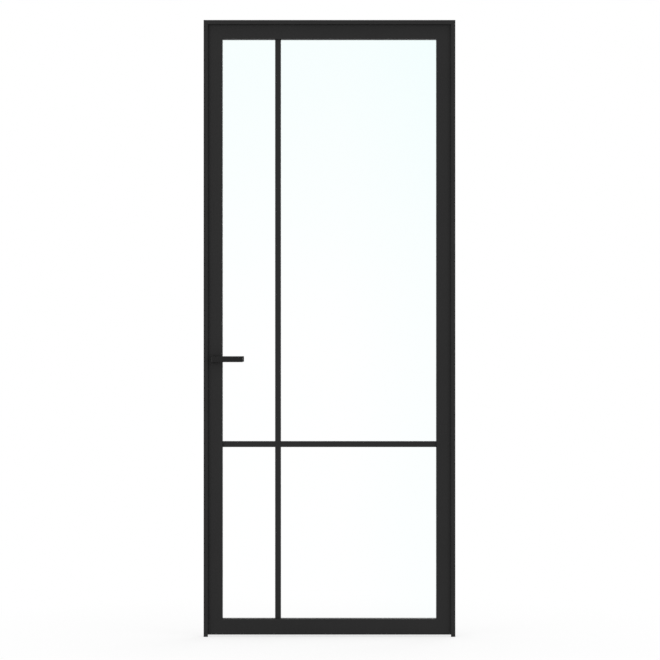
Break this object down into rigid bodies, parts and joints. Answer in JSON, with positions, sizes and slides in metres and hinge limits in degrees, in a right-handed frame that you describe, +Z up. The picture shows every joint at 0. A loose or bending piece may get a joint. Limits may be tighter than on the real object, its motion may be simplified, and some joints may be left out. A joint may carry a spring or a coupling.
{
  "type": "glass door",
  "caption": "Tall glazed door leaf with slim black profiles and offset glazing bars, hinged in a slim black frame, with a latch and lever handles.",
  "frame": {"origin": "on the floor, under the middle of the leaf and of its thickness", "axes": "+Z up, +X towards the hinge side, +Y towards the side that the leaf opens to; the pictured front faces -Y"},
  "size_m": [0.952, 0.154, 2.333],
  "materials": {
    "black_coated_profile": "fine matt black powder coat on aluminium extrusions",
    "black_hardware": "satin black coat on steel hardware",
    "clear_glass": "clear polished glass",
    "seal_rubber": "matt black rubber",
    "bonding_foam": "black acrylic foam tape",
    "block_plastic": "black moulded plastic",
    "zinc_steel": "zinc plated steel",
    "bare_aluminium": "mill finish aluminium",
    "washer_nylon": "black nylon"
  },
  "bodies": {
    "frame": {"frame_corner_keys": "bare_aluminium", "frame_head": "black_coated_profile", "frame_hinge_screws": "black_hardware", "lower_hinge_frame_plate": "black_hardware", "lower_hinge_pin": "black_hardware", "middle_hinge_frame_plate": "black_hardware", "middle_hinge_pin": "black_hardware", "stop_seal_head": "seal_rubber", "stop_seal_hinge_side": "seal_rubber", "stop_seal_lock_side": "seal_rubber", "strike_plate": "black_hardware", "strike_screws": "black_hardware", "upper_hinge_frame_plate": "black_hardware", "upper_hinge_pin": "black_hardware", "lock_jamb": "black_coated_profile", "hinge_jamb": "black_coated_profile", "hinge_washers": "washer_nylon"},
    "door_leaf": {"bottom_rail": "black_coated_profile", "case_cover_screws": "zinc_steel", "corner_cleat_hinge_bottom": "bare_aluminium", "corner_cleat_hinge_top": "bare_aluminium", "corner_cleat_lock_bottom": "bare_aluminium", "corner_cleat_lock_top": "bare_aluminium", "forend_screws": "black_hardware", "front_bar_tapes": "bonding_foam", "front_left_bar": "black_coated_profile", "front_right_bar": "black_coated_profile", "front_rose_base": "zinc_steel", "front_rose_cover": "black_hardware", "front_vertical_bar": "black_coated_profile", "gasket_bottom": "seal_rubber", "gasket_hinge_side": "seal_rubber", "gasket_lock_side": "seal_rubber", "gasket_top": "seal_rubber", "glass_pane": "clear_glass", "hinge_stile": "black_coated_profile", "latch_spring": "zinc_steel", "leaf_hinge_screws": "black_hardware", "lock_case": "zinc_steel", "lock_case_cover": "zinc_steel", "lock_forend": "black_hardware", "lock_stile": "black_coated_profile", "lower_hinge_leaf_plate": "black_hardware", "middle_hinge_leaf_plate": "black_hardware", "rear_bar_tapes": "bonding_foam", "rear_left_bar": "black_coated_profile", "rear_right_bar": "black_coated_profile", "rear_rose_base": "zinc_steel", "rear_rose_cover": "black_hardware", "rear_vertical_bar": "black_coated_profile", "rose_screws": "zinc_steel", "setting_blocks": "block_plastic", "top_rail": "black_coated_profile", "upper_hinge_leaf_plate": "black_hardware"},
    "lever_set": {"front_lever": "black_hardware", "rear_lever": "black_hardware", "spindle": "zinc_steel", "follower": "zinc_steel", "lever_grub_screws": "zinc_steel"},
    "latch": {"latch_bolt": "zinc_steel"}
  },
  "joints": [
    {"name": "door_swing", "type": "hinge", "parent": "frame", "child": "door_leaf", "pos_m": [0.4665, 0.0275, 0], "axis": [0, 0, -1], "range_deg": [0, 110]},
    {"name": "lever_turn", "type": "hinge", "parent": "door_leaf", "child": "lever_set", "pos_m": [-0.435, 0, 1.05], "axis": [0, 1, 0], "range_deg": [0, 40], "stiffness_Nm_per_rad": 1.2, "springref_deg": -28.65},
    {"name": "latch_slide", "type": "slide", "parent": "door_leaf", "child": "latch", "axis": [1, 0, 0], "range_m": [0, 0.01], "deforming": ["latch_spring"]}
  ],
  "couplings": [
    {"joint": "latch_slide", "follows": "lever_turn", "m_per_rad": 0.01432}
  ]
}
